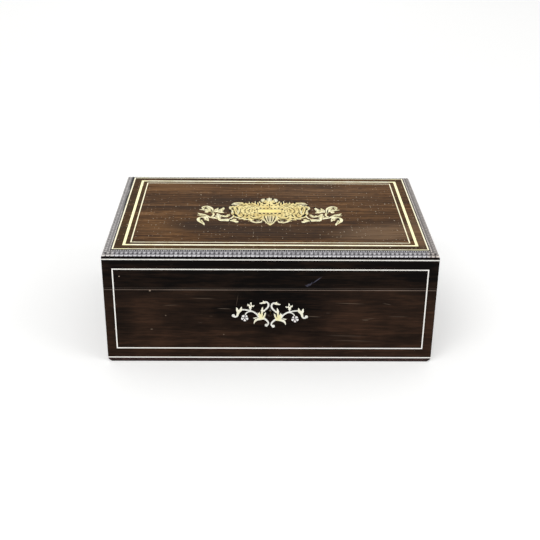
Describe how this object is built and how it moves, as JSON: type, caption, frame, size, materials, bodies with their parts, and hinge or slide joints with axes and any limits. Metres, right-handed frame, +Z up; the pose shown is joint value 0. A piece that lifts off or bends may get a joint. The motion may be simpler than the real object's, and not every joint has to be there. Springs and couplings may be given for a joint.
{
  "type": "document box",
  "caption": "Rectangular hinged wooden box for papers, with a lock, veneered and inlaid outside, ripple moulding round the lid, cloth-lined inside.",
  "frame": {"origin": "middle of the carcass's footprint, on the table under the plinth; the hinges stand out behind", "axes": "+X to the right along the front, +Y from the front to the back, +Z up"},
  "size_m": [0.36, 0.2445, 0.1324],
  "materials": {
    "ebonised_veneer": "polished",
    "rosewood_veneer": "satin",
    "ebonised_moulding": "polished",
    "carcass_wood": "sawn and planed",
    "brass": "polished, flush",
    "hinge_brass": "worn",
    "bone": "polished, flush",
    "mother_of_pearl": "polished, flush",
    "mastic": "flush",
    "lock_steel": "filed",
    "screw_brass": "turned",
    "lining_velvet": "cloth-covered card"
  },
  "bodies": {
    "base": {"base_front_veneer": "ebonised_veneer", "base_back_veneer": "ebonised_veneer", "base_left_veneer": "ebonised_veneer", "base_right_veneer": "ebonised_veneer", "plinth_front": "ebonised_moulding", "plinth_back": "ebonised_moulding", "plinth_left": "ebonised_moulding", "plinth_right": "ebonised_moulding", "base_front_board": "carcass_wood", "base_back_board": "carcass_wood", "base_left_board": "carcass_wood", "base_right_board": "carcass_wood", "bottom_board": "carcass_wood", "spray_left_leaves": "brass", "spray_right_leaves": "brass", "hinge_left_base_leaf": "hinge_brass", "hinge_right_base_leaf": "hinge_brass", "lock_plate": "hinge_brass", "base_stringing": "bone", "spray_left_stems": "bone", "spray_right_stems": "bone", "spray_left_flower": "mother_of_pearl", "spray_right_flower": "mother_of_pearl", "lock_case": "lock_steel", "lock_spring": "lock_steel", "key_pin": "lock_steel", "hinge_left_pin": "lock_steel", "hinge_right_pin": "lock_steel", "base_screws": "screw_brass", "floor_lining": "lining_velvet", "base_wall_linings": "lining_velvet"},
    "lid": {"lid_front_veneer": "ebonised_veneer", "lid_back_veneer": "ebonised_veneer", "lid_left_veneer": "ebonised_veneer", "lid_right_veneer": "ebonised_veneer", "lid_top_veneer": "rosewood_veneer", "ripple_moulding_front": "ebonised_moulding", "ripple_moulding_back": "ebonised_moulding", "ripple_moulding_left": "ebonised_moulding", "ripple_moulding_right": "ebonised_moulding", "lid_front_rail": "carcass_wood", "lid_back_rail": "carcass_wood", "lid_left_rail": "carcass_wood", "lid_right_rail": "carcass_wood", "lid_board": "carcass_wood", "brass_outer_line": "brass", "brass_wide_line": "brass", "brass_inner_line": "brass", "cartouche_centre": "brass", "cartouche_left_spray": "brass", "cartouche_right_spray": "brass", "hinge_left_lid_leaf": "hinge_brass", "hinge_right_lid_leaf": "hinge_brass", "strike_plate": "hinge_brass", "lid_stringing": "bone", "engraving_mastic": "mastic", "lid_screws": "screw_brass", "lid_top_lining": "lining_velvet", "lid_wall_linings": "lining_velvet"},
    "bolt": {"lock_bolt": "lock_steel"}
  },
  "joints": [
    {"name": "lid_hinge", "type": "hinge", "parent": "base", "child": "lid", "pos_m": [0, 0.1211, 0.08965], "axis": [-1, 0, 0], "range_deg": [0, 100]},
    {"name": "bolt_slide", "type": "slide", "parent": "base", "child": "bolt", "axis": [1, 0, 0], "range_m": [0, 0.004]}
  ]
}
